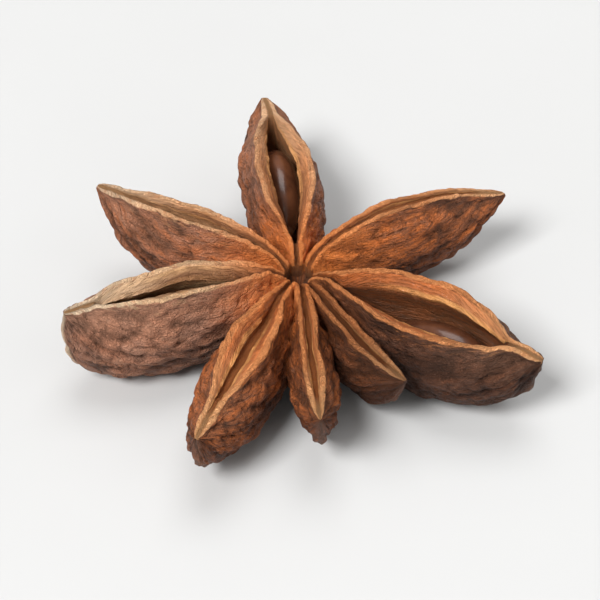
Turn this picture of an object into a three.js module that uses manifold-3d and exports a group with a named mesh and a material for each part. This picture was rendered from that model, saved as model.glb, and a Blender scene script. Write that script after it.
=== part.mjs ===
// A whole dried star anise fruit, lying on its back: boat-shaped carpels set round a short central column,
// each split along its upper seam, with a loose seed in the ones that gape, and a broken stalk underneath.
// Millimetres, +Z up. The keels rest on Z = 0 and the origin is under the middle of the fruit's outline.
import * as THREE from "three";
import { mergeVertices } from "three/addons/utils/BufferGeometryUtils.js";
import Module from "manifold-3d";

const wasm = await Module();
wasm.setup();

// ---- driving dimensions ----
// The edge along the split: its radius, how that and its height vary, and how it thins at the column.
const LIP = { radius: 0.17, uneven: 0.16, lift: 0.12, atColumn: 0.75, fullFrom: 0.22 };
// The smooth face below it, where a carpel's two halves were joined. Its lean is in degrees.
const FACE = { width: 1.1, leanShut: 8, depthShare: 0.6 };
const WALL = { thickness: 0.8, uneven: 0.06 }; // pericarp at a carpel's widest
const SEAM = { width: 0.24, depth: 0.4 }; // the closed ends of the split
const CENTRE = { lipX: 0.95, lipZ: 5.9, keelX: 0.95, keelZ: 2.5 }; // where a carpel starts, beside the axis
const COLUMN = { radius: 2.0, foot: 1.9, shoulder: 5.0, pit: 3.8, chamfer: 0.6, pitShare: 0.6, sides: 20 };
const STALK = { radius: 1.05, top: 3.2, end: 0.6, drift: 0.5, steps: 5, sides: 12 };
const REST = { height: 0, side: 60, depth: 10 }; // the level that the keels are worn flat to

// Shares of a carpel's length, from the column at 0 to the beak at 1.
const WIDTH = { widestAt: 0.56, atColumn: 0.36, atBeak: 0.08, taper: 1.8 };
const GAPE = { from: 0.14, to: 0.88, skew: 1.2, sharpness: 1.15, free: 1.0 }; // free: shows a seed, in mm
const CAVITY = { opens: 0.1, fullFrom: 0.34, fullTo: 0.72, closes: 0.91, floor: 1.2, hipAt: 0.45 };
// Shares of a section's height, from the keel at 0 to the lip at 1.
const BELLY = { at: 0.55, roundness: 0.72, top: 1.05 };
const NECK = { at: 0.87, spread: 0.07, depth: 0.1 }; // the hollow under the lip, its depth in millimetres

// Each carpel: azimuth in degrees, reach from the axis to the beak, width over the belly, gape between the
// faces of the split and how far they lean back in degrees, crest and tip heights of the lips, keel drop at
// mid length, how far the bow stands forward of the beak, roll in degrees at the beak, sideways bend at the
// beak, and whether a seed shows in it.
const CARPELS = [
  {
    name: "east", azimuth: -30, reach: 17.4, width: 5.7, gape: 2.4, lean: 48,
    crest: 7.6, tip: 6.3, drop: 0.25, bow: -0.7, roll: 6, bend: 0.6, seed: true,
  },
  {
    name: "north_east", azimuth: 46, reach: 14.7, width: 4.7, gape: 0.15, lean: 12,
    crest: 8.0, tip: 7.0, drop: 0.2, bow: -1.3, roll: 7, bend: -5.0, seed: false,
  },
  {
    name: "north", azimuth: 96, reach: 16.4, width: 5.4, gape: 1.6, lean: 42,
    crest: 7.5, tip: 6.8, drop: 0.1, bow: -0.9, roll: 4, bend: 0.7, seed: true,
  },
  {
    name: "north_west", azimuth: 148, reach: 15.0, width: 4.6, gape: 0.35, lean: 16,
    crest: 7.9, tip: 7.5, drop: 0.15, bow: -1.6, roll: -9, bend: 1.4, seed: false,
  },
  {
    name: "west", azimuth: 198, reach: 15.7, width: 5.2, gape: 1.0, lean: 36,
    crest: 7.7, tip: 6.9, drop: 0.2, bow: 1.9, roll: -2, bend: -0.3, seed: true,
  },
  {
    name: "south_west", azimuth: 245, reach: 16.1, width: 4.7, gape: 0.4, lean: 46,
    crest: 7.5, tip: 6.7, drop: 0.2, bow: -0.5, roll: -5, bend: 0.6, seed: false,
  },
  {
    name: "south", azimuth: 278, reach: 13.8, width: 3.1, gape: 0.2, lean: 20,
    crest: 7.1, tip: 7.0, drop: -0.5, bow: -1.8, roll: 4, bend: -0.6, seed: false,
  },
  {
    name: "south_east", azimuth: 300, reach: 12.0, width: 2.8, gape: 0.15, lean: 16,
    crest: 6.7, tip: 6.3, drop: -0.9, bow: -2.2, roll: 10, bend: 0.8, seed: false,
  },
];

// A seed: its length as a share of its carpel's reach, its height, and the room left on each side of it.
const SEED = { length: 0.44, height: 4.2, clearance: 0.47 };
const SEED_BLUNT = { end: 0.14, middle: 0.06 };
// Where it lies: share along its carpel, share of the height there, and share of the keel's slope it takes.
const SEED_REST = { at: 0.54, lift: 0.51, tilt: 0.6 };

// ---- mesh resolution ----
const RIBS = { count: 19, crowding: 0.45 }; // sections along a carpel, closer together at its ends
const WALL_STEPS = { count: 6, lift: 1.25 }; // points up each outer wall, closer together at the keel
const LIP_STEPS = 2; // points round each lip, less one
const LIP_TURN = 0.75 * Math.PI; // how far round the edge goes before it meets the face
const CAVITY_STEPS = 4; // points down each inner wall
const SEED_MESH = { around: 14, along: 9 };
const WELD = 0.004; // millimetres

const clamp01 = (v) => Math.min(1, Math.max(0, v));
const smooth = (low, high, v) => {
  const s = clamp01((v - low) / (high - low));
  return s * s * (3 - 2 * s);
};
const mix = (a, b, s) => a + (b - a) * s;

// The upper edge of a carpel in its own plane: x outwards, y up.
function lipLine(c) {
  return new THREE.CubicBezierCurve(
    new THREE.Vector2(CENTRE.lipX, CENTRE.lipZ),
    new THREE.Vector2(c.reach * 0.2, CENTRE.lipZ + (c.crest - CENTRE.lipZ) * 1.45),
    new THREE.Vector2(c.reach * 0.7, c.crest + (c.crest - c.tip) * 0.35),
    new THREE.Vector2(c.reach, c.tip),
  );
}

// The lower edge: down from the column, along the ground and up the bow to the beak.
function keelLine(c) {
  return new THREE.CubicBezierCurve(
    new THREE.Vector2(CENTRE.keelX, CENTRE.keelZ),
    new THREE.Vector2(c.reach * 0.3, -1.55 - c.drop),
    new THREE.Vector2(c.reach + c.bow, -1.75 - c.drop),
    new THREE.Vector2(c.reach, c.tip - 0.25),
  );
}

// Share of the full width at t along the carpel: narrow at the column, pointed at the beak.
function widthShare(t) {
  const rise = Math.sin((Math.PI / 2) * Math.min(1, t / WIDTH.widestAt));
  const fall = clamp01((t - WIDTH.widestAt) / (1 - WIDTH.widestAt)) ** WIDTH.taper;
  return mix(WIDTH.atColumn, 1, rise) * mix(1, WIDTH.atBeak, fall);
}

// Share of the full gape at t: shut near the column and behind the beak, widest past the middle.
function gapeShare(t) {
  const s = clamp01((t - GAPE.from) / (GAPE.to - GAPE.from));
  return Math.sin(Math.PI * s ** GAPE.skew) ** GAPE.sharpness;
}

// Share of the cavity's full depth and width at t: none in a carpel that hardly gapes.
function cavityShare(c, t) {
  const along = smooth(CAVITY.opens, CAVITY.fullFrom, t) * (1 - smooth(CAVITY.fullTo, CAVITY.closes, t));
  return along * clamp01(c.gape / GAPE.free);
}

// Half the outer width at height share h, from the keel at 0 to the lip at 1.
function wallAt(h, belly, lip) {
  if (h < BELLY.at) return belly * Math.sin((Math.PI / 2) * (h / BELLY.at)) ** BELLY.roundness;
  return mix(belly, lip, smooth(BELLY.at, BELLY.top, h));
}

// Slow unevenness of the walls and lips, different on each carpel, in -1 to 1.
const uneven = (t, h, phase) =>
  0.6 * Math.sin(9 * t + 4 * h + phase) + 0.4 * Math.sin(21 * t - 7 * h + 2.3 * phase);

// One closed section of a carpel as points [sideways, height along the rib], from the keel round both walls.
function section(c, t, ribLength, phase) {
  const belly = (c.width / 2) * widthShare(t);
  const gap = Math.min(SEAM.width / 2, 0.3 * belly) + (c.gape / 2) * gapeShare(t);
  const share = cavityShare(c, t);
  const depth = Math.max(Math.min(SEAM.depth, 0.25 * ribLength), (ribLength - CAVITY.floor) * share);
  const lean = THREE.MathUtils.degToRad(mix(FACE.leanShut, c.lean, gapeShare(t)));
  const faceDrop = Math.min(FACE.width * Math.cos(lean), FACE.depthShare * depth);
  const side = (sign) => {
    const thinned = LIP.radius * mix(LIP.atColumn, 1, smooth(0, LIP.fullFrom, t));
    const lipRadius = Math.min(thinned * (1 + LIP.uneven * uneven(1.7 * t, sign, phase)), 0.2 * belly);
    const outerLip = gap + faceDrop * Math.tan(lean) + 2 * lipRadius;
    const widest = Math.max(belly, 0.96 * outerLip);
    const innerWidest = Math.max(gap, (widest - WALL.thickness) * share);
    const capAt = ribLength - lipRadius; // height of the lip's centre
    const points = [];
    for (let i = 1; i <= WALL_STEPS.count; i++) {
      const h = (i / (WALL_STEPS.count + 0.5)) ** WALL_STEPS.lift;
      const bumpy = 1 + WALL.uneven * uneven(t, h, phase + sign);
      const neck = NECK.depth * clamp01(belly) * Math.exp(-(((h - NECK.at) / NECK.spread) ** 2));
      points.push([sign * (wallAt(h, widest, outerLip) * bumpy - neck), h * capAt]);
    }
    for (let i = 0; i <= LIP_STEPS; i++) {
      const angle = (LIP_TURN * i) / LIP_STEPS;
      const inwards = lipRadius * (1 - Math.cos(angle));
      points.push([sign * (outerLip - inwards), capAt + lipRadius * Math.sin(angle)]);
    }
    for (let i = 0; i <= CAVITY_STEPS; i++) {
      const down = i / (CAVITY_STEPS + 0.6);
      const swell = mix(gap, innerWidest, smooth(0, CAVITY.hipAt, down));
      const close = Math.sqrt(1 - clamp01((down - CAVITY.hipAt) / (1 - CAVITY.hipAt)) ** 2);
      points.push([sign * swell * close, ribLength - faceDrop - (depth - faceDrop) * down]);
    }
    return points;
  };
  return [[0, 0], ...side(1), [0, ribLength - depth], ...side(-1).reverse()];
}

// A closed carpel, lofted through its sections and turned to its place round the axis.
function carpelGeometry(c, index) {
  const phase = 1.7 * index + 0.4;
  const lip = lipLine(c);
  const keel = keelLine(c);
  const positions = [];
  const sections = [];
  for (let i = 0; i < RIBS.count; i++) {
    const s = i / (RIBS.count - 1);
    const t = mix(s, 0.5 - 0.5 * Math.cos(Math.PI * s), RIBS.crowding);
    const low = keel.getPoint(t);
    const rib = lip.getPoint(t).sub(low);
    const length = rib.length();
    const roll = THREE.MathUtils.degToRad(c.roll) * t;
    const middle = low.y + rib.y / 2;
    const ring = section(c, t, length, phase).map(([sideways, along]) => {
      const share = along / length;
      const y = sideways + c.bend * t * t;
      const z = rib.y * (share - 0.5) + LIP.lift * share * uneven(t, 0, phase);
      positions.push(
        low.x + rib.x * share,
        y * Math.cos(roll) - z * Math.sin(roll),
        middle + y * Math.sin(roll) + z * Math.cos(roll),
      );
      return positions.length / 3 - 1;
    });
    sections.push(ring);
  }
  const faces = [];
  const count = sections[0].length;
  for (let i = 0; i + 1 < RIBS.count; i++) {
    for (let k = 0; k < count; k++) {
      const [a, b] = [sections[i][k], sections[i][(k + 1) % count]];
      const [d, e] = [sections[i + 1][k], sections[i + 1][(k + 1) % count]];
      faces.push(a, b, d, b, e, d);
    }
  }
  closeEnd(sections[0], positions, faces, false);
  closeEnd(sections[RIBS.count - 1], positions, faces, true);
  return new THREE.BufferGeometry()
    .setAttribute("position", new THREE.Float32BufferAttribute(positions, 3))
    .setIndex(faces)
    .rotateZ(THREE.MathUtils.degToRad(c.azimuth));
}

// Closes a section with a fan from a point midway between the keel and the bottom of the seam.
function closeEnd(ring, positions, faces, outer) {
  const floor = ring[ring.length / 2];
  const hub = positions.length / 3;
  for (let axis = 0; axis < 3; axis++) {
    positions.push((positions[3 * ring[0] + axis] + positions[3 * floor + axis]) / 2);
  }
  ring.forEach((a, k) => {
    const b = ring[(k + 1) % ring.length];
    faces.push(hub, outer ? a : b, outer ? b : a);
  });
}

// The short column that the carpels grow from, with the pit that shows at the heart of the star.
function columnGeometry() {
  const profile = [
    [0, COLUMN.foot],
    [COLUMN.radius - COLUMN.chamfer, COLUMN.foot],
    [COLUMN.radius, COLUMN.foot + COLUMN.chamfer],
    [COLUMN.radius, COLUMN.shoulder - COLUMN.chamfer],
    [COLUMN.radius * COLUMN.pitShare, COLUMN.shoulder],
    [0, COLUMN.pit],
  ];
  const outline = profile.map(([r, z]) => new THREE.Vector2(r, z));
  return new THREE.LatheGeometry(outline, COLUMN.sides).rotateX(Math.PI / 2);
}

// The stub of the stalk, broken off just above the ground.
function stalkGeometry() {
  const path = new THREE.QuadraticBezierCurve3(
    new THREE.Vector3(0, 0, STALK.top),
    new THREE.Vector3(0, 0, (STALK.top + STALK.end) / 2),
    new THREE.Vector3(STALK.drift, -STALK.drift / 2, STALK.end),
  );
  const outline = new THREE.Shape().absarc(0, 0, STALK.radius, 0, 2 * Math.PI);
  return new THREE.ExtrudeGeometry(outline, {
    extrudePath: path,
    steps: STALK.steps,
    curveSegments: STALK.sides / 2,
  });
}

// An egg-shaped seed, flattened sideways, as thick as its carpel leaves room for.
function seedGeometry(c) {
  const length = SEED.length * c.reach;
  const thickness = c.width - 2 * WALL.thickness - 2 * SEED.clearance;
  const geometry = new THREE.SphereGeometry(1, SEED_MESH.around, SEED_MESH.along).rotateZ(Math.PI / 2);
  const position = geometry.getAttribute("position");
  for (let i = 0; i < position.count; i++) {
    const [x, y, z] = [position.getX(i), position.getY(i), position.getZ(i)];
    const blunt = 1 + SEED_BLUNT.end * x - SEED_BLUNT.middle * x * x;
    position.setXYZ(i, (length / 2) * x, (thickness / 2) * y * blunt, (SEED.height / 2) * z * blunt);
  }
  return geometry;
}

// Moves a seed along its carpel and turns it to the slope, bend and roll of the cavity.
function placeSeed(geometry, c) {
  const middle = keelLine(c).getPoint(SEED_REST.at).lerp(lipLine(c).getPoint(SEED_REST.at), SEED_REST.lift);
  const slope = keelLine(c).getTangent(SEED_REST.at);
  const roll = THREE.MathUtils.degToRad(c.roll) * SEED_REST.at;
  return geometry
    .rotateX(roll)
    .rotateY(-SEED_REST.tilt * Math.atan2(slope.y, slope.x))
    .rotateZ(Math.atan2(2 * c.bend * SEED_REST.at, c.reach))
    .translate(middle.x, c.bend * SEED_REST.at ** 2, middle.y)
    .rotateZ(THREE.MathUtils.degToRad(c.azimuth));
}

// A closed geometry as a solid that can be joined and cut.
function solidOf(geometry) {
  const bare = geometry.clone();
  for (const name of Object.keys(bare.attributes)) {
    if (name !== "position") bare.deleteAttribute(name);
  }
  const merged = mergeVertices(bare, 1e-4);
  return new wasm.Manifold(
    new wasm.Mesh({
      numProp: 3,
      vertProperties: new Float32Array(merged.attributes.position.array),
      triVerts: new Uint32Array(merged.index.array),
    }),
  );
}

// A joined solid back as a geometry. Points that lie closer than the weld are made one, and the slivers
// that this closes up are left out.
function geometryOf(solid) {
  const mesh = solid.getMesh();
  const joined = new THREE.BufferGeometry()
    .setAttribute("position", new THREE.BufferAttribute(mesh.vertProperties, 3))
    .setIndex(new THREE.BufferAttribute(mesh.triVerts, 1));
  const welded = mergeVertices(joined, WELD);
  const corners = Array.from(welded.index.array);
  const faces = [];
  for (let i = 0; i < corners.length; i += 3) {
    const face = corners.slice(i, i + 3);
    if (new Set(face).size === 3) faces.push(...face);
  }
  return welded.setIndex(faces);
}

// The fruit in one piece: every carpel, the column and the stalk, with the keels cut level.
function podSolid() {
  const below = new THREE.BoxGeometry(REST.side, REST.side, REST.depth);
  below.translate(0, 0, REST.height - REST.depth / 2);
  return [columnGeometry(), stalkGeometry(), ...CARPELS.map(carpelGeometry)]
    .map(solidOf)
    .reduce((whole, piece) => whole.add(piece))
    .subtract(solidOf(below));
}

const pericarp = new THREE.MeshStandardMaterial({ color: 0x7a4526, roughness: 0.82, metalness: 0 });
const seedCoat = new THREE.MeshStandardMaterial({ color: 0x4a2314, roughness: 0.25, metalness: 0 });

const pod = new THREE.Mesh(geometryOf(podSolid()), pericarp);
pod.name = "pod";
pod.geometry.computeBoundingBox();
const middle = pod.geometry.boundingBox.getCenter(new THREE.Vector3());

const fruit = new THREE.Group();
fruit.position.set(-middle.x, -middle.y, 0);
fruit.add(pod);
for (const c of CARPELS.filter((carpel) => carpel.seed)) {
  const seed = new THREE.Mesh(placeSeed(seedGeometry(c), c), seedCoat);
  seed.name = `seed_${c.name}`;
  fruit.add(seed);
}

const starAnise = new THREE.Group();
starAnise.add(fruit);
export default starAnise;
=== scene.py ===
"""Dresses a whole dried star anise fruit for its portrait.

The husk is one mesh: the boat-shaped carpels, the column that they grow from and the stub of the stalk, with
the wrinkles that drying leaves on them. The seeds lie loose in the carpels that gape. Sizes are in
millimetres, and are turned into metres where a mesh is made.
"""
import logging
import math
from dataclasses import dataclass, field
from enum import Enum
from typing import NamedTuple

import bmesh
import bpy
import numpy as np
from mathutils import Matrix, Vector, kdtree, noise


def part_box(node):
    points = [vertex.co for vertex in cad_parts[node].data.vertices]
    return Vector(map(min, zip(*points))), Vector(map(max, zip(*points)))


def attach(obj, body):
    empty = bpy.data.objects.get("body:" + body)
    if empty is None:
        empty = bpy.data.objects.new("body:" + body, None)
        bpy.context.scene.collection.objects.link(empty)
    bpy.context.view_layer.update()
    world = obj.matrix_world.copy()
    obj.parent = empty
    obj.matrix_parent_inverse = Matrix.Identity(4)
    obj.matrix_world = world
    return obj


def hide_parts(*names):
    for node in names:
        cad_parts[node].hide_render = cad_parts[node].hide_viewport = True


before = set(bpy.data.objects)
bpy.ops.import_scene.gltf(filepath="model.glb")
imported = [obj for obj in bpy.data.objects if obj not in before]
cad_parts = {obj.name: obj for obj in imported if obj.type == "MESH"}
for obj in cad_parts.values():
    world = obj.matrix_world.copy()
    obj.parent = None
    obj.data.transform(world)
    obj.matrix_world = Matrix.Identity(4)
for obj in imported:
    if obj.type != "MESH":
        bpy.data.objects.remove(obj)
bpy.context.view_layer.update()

MM = 0.001
BODY = "root"
VECTORS = ("grain", "marks", "tones", "spots")  # what the finish reads from the husk's points
FACE_END = 0.2  # depth into the split, as a mark from 0 to 1, where its faces end
log = logging.getLogger("star_anise")

Array = np.ndarray
Colour = tuple[float, float, float]
Outline = list[tuple[float, float]]
Socket = bpy.types.NodeSocket
Span = tuple[float, float]


# ---- small sums ----


def clamp01(value: Array) -> Array:
    """Returns the value kept between 0 and 1."""
    return np.clip(value, 0.0, 1.0)


def smooth(low: float, high: float, value: Array) -> Array:
    """Eases from 0 to 1.

    Args:
        low: where it leaves 0.
        high: where it reaches 1.
        value: the values to ease.

    Returns:
        The eased share of each value.
    """
    s = clamp01((value - low) / (high - low))
    return s * s * (3 - 2 * s)


def mix(a: Array, b: Array, share: Array) -> Array:
    """Returns a at share 0 and b at share 1."""
    return a + (b - a) * share


def bezier(corners: Outline, t: Array) -> Array:
    """Follows a cubic Bezier curve.

    Args:
        corners: its four control points as (outwards, up).
        t: the parameters to evaluate at.

    Returns:
        One (outwards, up) row for each parameter.
    """
    a, b, c, d = (np.array(corner) for corner in corners)
    s = t[:, None]
    return a * (1 - s) ** 3 + 3 * b * s * (1 - s) ** 2 + 3 * c * s * s * (1 - s) + d * s**3


def uneven(t: Array, h: Array, phase: float) -> Array:
    """Slow unevenness of walls and lips, different on each carpel.

    Args:
        t: the share along the carpel.
        h: the share of the height.
        phase: what sets one carpel apart from the next.

    Returns:
        Values between -1 and 1.
    """
    return 0.6 * np.sin(9 * t + 4 * h + phase) + 0.4 * np.sin(21 * t - 7 * h + 2.3 * phase)


def vectors(x: Array, y: Array, z: Array) -> Array:
    """Returns three coordinates as vectors. Any but one may be a single number."""
    return np.stack(np.broadcast_arrays(x, y, z), axis=-1).astype(float)


def noise_at(x: Array, y: Array, z: Array) -> Array:
    """Smooth noise.

    Args:
        x: first coordinate.
        y: second coordinate, of the same shape or one that broadcasts.
        z: third coordinate, likewise.

    Returns:
        Noise between about -1 and 1, in the shape of the coordinates.
    """
    points = vectors(x, y, z)
    values = [noise.noise(Vector(p)) for p in points.reshape(-1, 3)]
    return np.array(values).reshape(points.shape[:-1])


@dataclass(frozen=True)
class Pattern:
    """Noise laid over the skin.

    Attributes:
        height: how much it adds at its highest.
        along: waves for each millimetre along the carpel.
        around: waves for each millimetre round the section, or how far one lip is set apart from the other.
        layer: the slice of the noise that it takes, which sets it apart from other patterns.
    """

    height: float
    along: float
    around: float
    layer: float = 0.0

    def waves(self, x: Array, y: Array, number: Array) -> Array:
        """Returns smooth waves up and down, by length, place round the section and carpel."""
        return self.height * noise_at(x * self.along, y * self.around, number + self.layer)

    def ridges(self, x: Array, y: Array, number: Array, top: float = 0.5, power: float = 0.65) -> Array:
        """Rounded ridges parted by narrow furrows.

        Args:
            x: the length along the carpel.
            y: the place round the section.
            number: the carpel's number.
            top: how strong the noise is where a ridge is full.
            power: how narrow the furrows are, less for narrower ones.

        Returns:
            0 at the bottom of a furrow to the pattern's height on a ridge.
        """
        strength = np.abs(noise_at(x * self.along, y * self.around, number + self.layer))
        return self.height * clamp01(strength / top) ** power


# ---- the fruit's sizes ----


@dataclass(frozen=True)
class Carpel:
    """One boat-shaped carpel.

    Attributes:
        name: the side of the fruit that it points to.
        azimuth: its direction in degrees.
        reach: from the axis to the beak.
        width: over the belly.
        gape: how far apart the faces of the split stand.
        lean: how far those faces lean back, in degrees.
        crest: height of the lips at their highest.
        tip: height of the beak.
        drop: how much lower the keel hangs than its neighbours'.
        bow: how far the front of the keel stands forward of the beak.
        roll: lean to one side at the beak, in degrees.
        bend: sideways bend at the beak.
        bleach: how far it has gone from orange to a greyish tan, 0 to 1.
        ruddy: how far its walls have kept their orange brown, 0 to 1.
        dark: how much darker than its neighbours it has dried, 0 to 1.
        seed: whether a seed shows in it.
    """

    name: str
    azimuth: float
    reach: float
    width: float
    gape: float
    lean: float
    crest: float
    tip: float
    drop: float
    bow: float
    roll: float
    bend: float
    bleach: float
    ruddy: float
    dark: float
    seed: bool


CARPELS = (
    Carpel("east", -30, 17.4, 5.7, 2.4, 48, 7.6, 6.3, 0.25, -0.7, 6, 0.6, 0.05, 0.1, 0.1, True),
    Carpel("north_east", 46, 14.7, 4.7, 0.15, 12, 8.0, 7.0, 0.2, -1.3, 7, -5.0, 0.15, 0.95, 0.0, False),
    Carpel("north", 96, 16.4, 5.4, 1.6, 42, 7.5, 6.8, 0.1, -0.9, 4, 0.7, 0.45, 0.5, 0.0, True),
    Carpel("north_west", 148, 15.0, 4.6, 0.35, 16, 7.9, 7.5, 0.15, -1.6, -9, 1.4, 0.7, 0.7, 0.0, False),
    Carpel("west", 198, 15.7, 5.2, 0.45, 46, 7.7, 6.9, 0.2, 1.9, -2, -0.3, 1.0, 0.15, 0.0, True),
    Carpel("south_west", 245, 16.1, 4.7, 0.4, 46, 7.5, 6.7, 0.2, -0.5, -5, 0.6, 0.05, 0.9, 0.0, False),
    Carpel("south", 278, 13.8, 3.1, 0.2, 20, 7.1, 7.0, -0.5, -1.8, 4, -0.6, 0.0, 0.85, 0.25, False),
    Carpel("south_east", 300, 12.0, 2.8, 0.15, 16, 6.7, 6.3, -0.9, -2.2, 10, 0.8, 0.0, 0.4, 0.65, False),
)


class Zone(Enum):
    """The part of a carpel's section that a point lies on."""

    WALL = 0
    EDGE = 1
    FACE = 2
    CAVITY = 3


@dataclass
class Grid:
    """Points of one closed tube, ring by ring, with what the finish needs to know about them.

    Attributes:
        points: rings by points by (x, y, z).
        grain: the same shape: length along, signed height round the section, and the carpel's number.
        marks: the same shape: closeness to the edge, or to the keel when below 0, depth into the split,
            and relief.
        tones: the same shape: the carpel's bleach, ruddiness and darkness.
        spots: the same shape: share along, share of the height, and fine creasing.
    """

    points: Array
    grain: Array
    marks: Array
    tones: Array
    spots: Array

    def normals(self) -> Array:
        """Returns the outward normal at each point of the rings."""
        round_ring = np.roll(self.points, -1, axis=1) - np.roll(self.points, 1, axis=1)
        along = np.gradient(self.points, axis=0)
        across = np.cross(round_ring, along)
        return across / np.maximum(np.linalg.norm(across, axis=-1, keepdims=True), 1e-9)

    def mesh(self, name: str) -> bpy.types.Mesh:
        """Closes the tube with a fan at each end.

        Args:
            name: the mesh's name.

        Returns:
            A closed mesh in metres, without attributes.
        """
        rings, count = self.points.shape[:2]
        hubs = [(ring[0] + ring[count // 2]) / 2 for ring in (self.points[0], self.points[-1])]
        points = np.concatenate([self.points.reshape(-1, 3), hubs]) * MM
        k = np.arange(count)
        following = (k + 1) % count
        faces = []
        for i in range(rings - 1):
            low, high = i * count, (i + 1) * count
            faces.extend(zip(low + k, low + following, high + following, high + k))
        start_hub, end_hub = rings * count, rings * count + 1
        top = (rings - 1) * count
        faces.extend((start_hub, b, a) for a, b in zip(k, following))
        faces.extend((end_hub, top + a, top + b) for a, b in zip(k, following))
        mesh = bpy.data.meshes.new(name)
        mesh.from_pydata(points.tolist(), [], [tuple(map(int, face)) for face in faces])
        return mesh


@dataclass(frozen=True)
class CarpelForm:
    """The sizes that every carpel shares, in millimetres or as shares of its length and height.

    A pair of shares is where something begins and where it is full.
    """

    ring_crowding: float = 0.45
    wall_crowding: float = 1.12
    lip_radius: float = 0.17
    lip_most: float = 0.2
    lip_uneven: float = 0.16
    lip_lift: float = 0.12
    lip_at_column: float = 0.75
    lip_full_from: float = 0.22
    lip_turn: float = 0.75 * math.pi
    lip_rise: float = 1.45
    lip_brow: float = 0.35
    lip_bends: Span = (0.2, 0.7)
    edge_skin: float = 0.3
    face_width: float = 1.1
    cavity_skin: float = 4.0
    lean_shut: float = 8.0
    face_depth_share: float = 0.6
    wall: float = 0.8
    wall_uneven: float = 0.06
    seam_width: float = 0.24
    seam_width_most: float = 0.3
    seam_depth: float = 0.4
    seam_depth_most: float = 0.25
    centre_lip: Span = (0.95, 5.9)
    centre_keel: Span = (0.95, 2.5)
    keel_belly: float = -1.55
    keel_foot: float = -1.75
    keel_bend: float = 0.3
    beak_height: float = 0.25
    widest_at: float = 0.56
    width_at_column: float = 0.36
    width_at_beak: float = 0.08
    taper: float = 1.8
    gape_from: float = 0.14
    gape_to: float = 0.88
    gape_skew: float = 1.2
    gape_sharpness: float = 1.15
    cavity_opens: Span = (0.1, 0.34)
    cavity_closes: Span = (0.72, 0.91)
    cavity_floor: float = 1.2
    cavity_hip: float = 0.45
    slit_share: float = 0.5
    belly_at: float = 0.55
    belly_least: float = 0.96
    belly_roundness: float = 0.72
    belly_top: float = 1.05
    neck_at: float = 0.87
    neck_spread: float = 0.07
    neck_depth: float = 0.1
    beak_merges: Span = (0.8, 0.92)
    beak_fill: float = 0.8
    mark_at_lip: float = 0.5  # closeness to the edge, as a mark for the finish
    mark_on_face: Span = (0.4, 0.2)
    mark_turn: float = 2.3
    mark_least: float = 0.02
    shallowest: float = 0.2

    def lip_line(self, c: Carpel, t: Array) -> Array:
        """The upper edge in the carpel's own plane.

        Args:
            c: the carpel.
            t: shares along it.

        Returns:
            One (outwards, up) row for each share.
        """
        x, z = self.centre_lip
        near, far = self.lip_bends
        rise = z + (c.crest - z) * self.lip_rise
        brow = c.crest + (c.crest - c.tip) * self.lip_brow
        return bezier([(x, z), (c.reach * near, rise), (c.reach * far, brow), (c.reach, c.tip)], t)

    def keel_line(self, c: Carpel, t: Array) -> Array:
        """The lower edge, down from the column, along the ground and up the bow.

        Args:
            c: the carpel.
            t: shares along it.

        Returns:
            One (outwards, up) row for each share.
        """
        belly = (c.reach * self.keel_bend, self.keel_belly - c.drop)
        foot = (c.reach + c.bow, self.keel_foot - c.drop)
        return bezier([self.centre_keel, belly, foot, (c.reach, c.tip - self.beak_height)], t)

    def width_share(self, t: Array) -> Array:
        """Returns the share of the full width at t."""
        rise = np.sin(np.pi / 2 * np.minimum(1, t / self.widest_at))
        fall = clamp01((t - self.widest_at) / (1 - self.widest_at)) ** self.taper
        return mix(self.width_at_column, 1, rise) * mix(1, self.width_at_beak, fall)

    def gape_share(self, t: Array) -> Array:
        """Returns the share of the full gape at t."""
        s = clamp01((t - self.gape_from) / (self.gape_to - self.gape_from))
        return np.sin(np.pi * s**self.gape_skew) ** self.gape_sharpness

    def cavity_share(self, c: Carpel, t: Array) -> Array:
        """Returns the share of the cavity's full depth and width at t."""
        full = 1.0 if c.seed else self.slit_share * c.gape
        return smooth(*self.cavity_opens, t) * (1 - smooth(*self.cavity_closes, t)) * full

    def wall_at(self, h: Array, belly: Array, lip: Array) -> Array:
        """Half the outer width.

        Args:
            h: the share of the height, from the keel at 0.
            belly: half the width at the belly.
            lip: half the width at the lip.

        Returns:
            Half the width at each h.
        """
        below = belly * np.sin(np.pi / 2 * np.minimum(1, h / self.belly_at)) ** self.belly_roundness
        return np.where(h < self.belly_at, below, mix(belly, lip, smooth(self.belly_at, self.belly_top, h)))


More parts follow.
